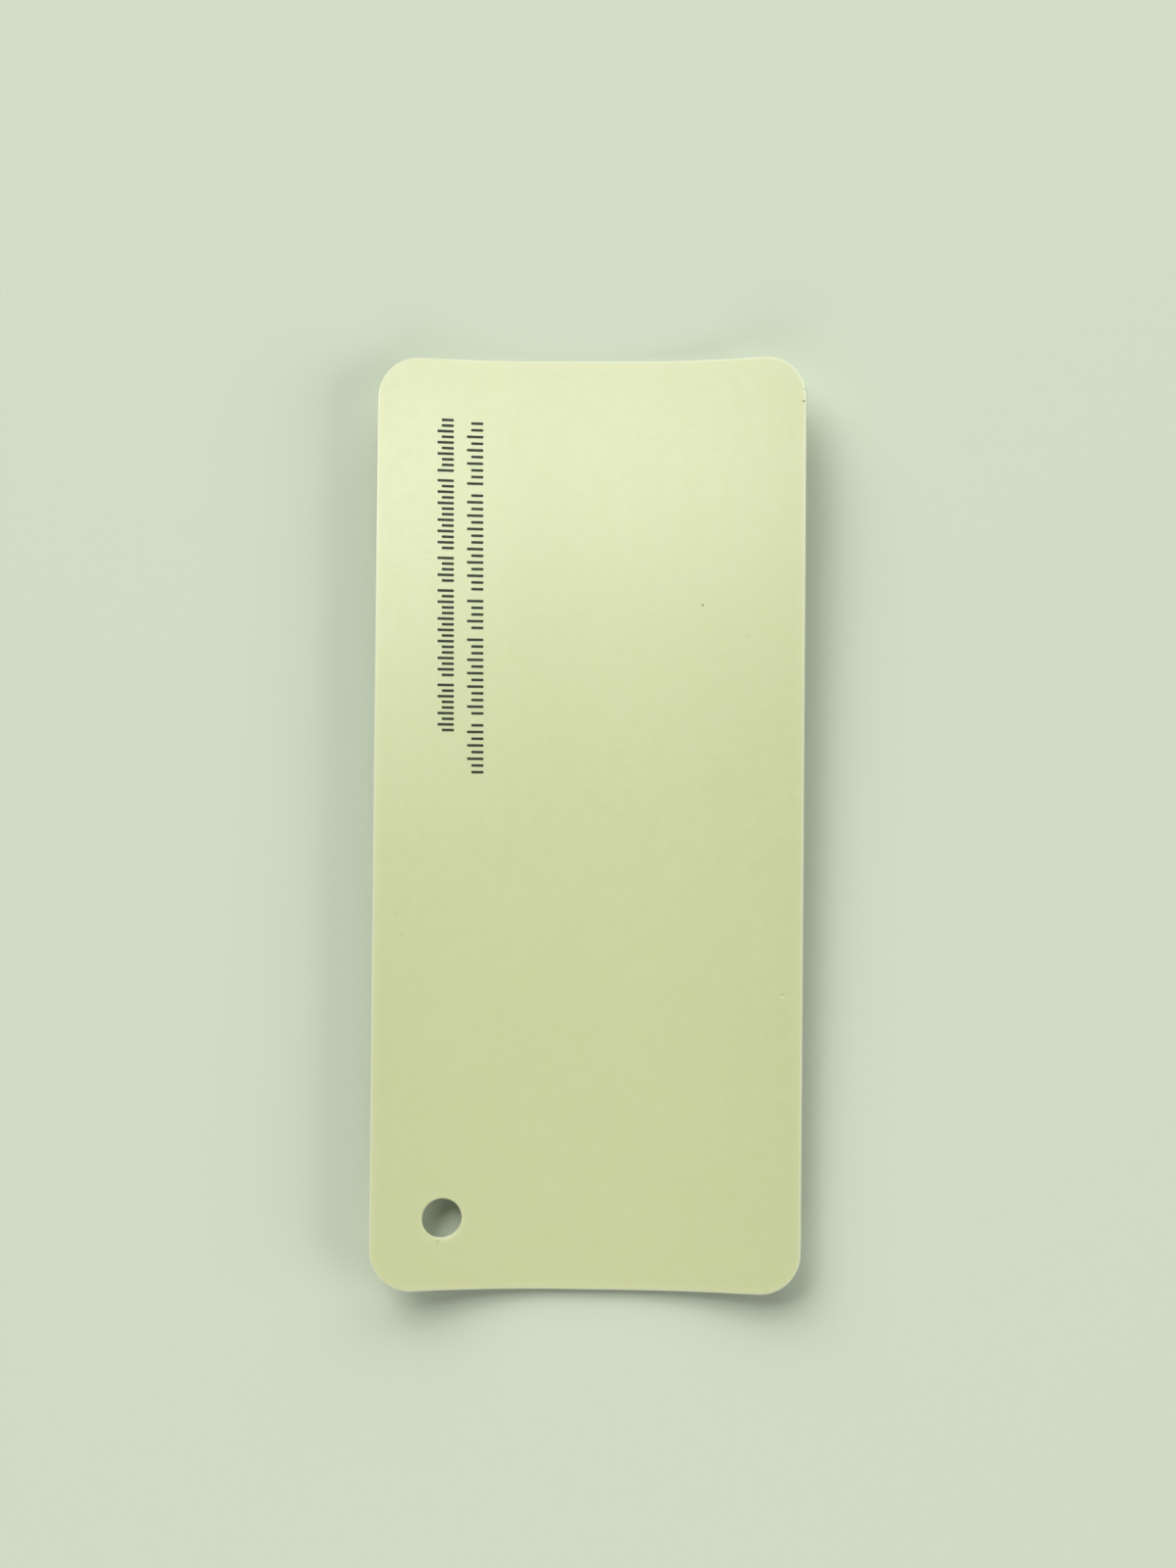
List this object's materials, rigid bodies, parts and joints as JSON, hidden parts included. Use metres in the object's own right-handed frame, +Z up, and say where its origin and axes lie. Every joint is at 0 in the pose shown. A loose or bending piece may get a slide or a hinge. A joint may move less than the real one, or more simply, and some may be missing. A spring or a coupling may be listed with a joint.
{
  "type": "colour sample card",
  "caption": "Thin pale green sample card with rounded corners, a punched hanging hole near one corner and a slight lasting curl across its width.",
  "frame": {"origin": "middle of the flat strip under the card that it rests on, which is the bottom centre of its box", "axes": "+X across the card, +Y along it to the end away from the hole, +Z up out of the shown face"},
  "size_m": [0.0644, 0.14, 0.0057],
  "materials": {
    "card": "soft matte pale yellow-green film on a thin white-cored plastic sheet"
  },
  "bodies": {
    "root": {"card": "card"}
  },
  "joints": []
}
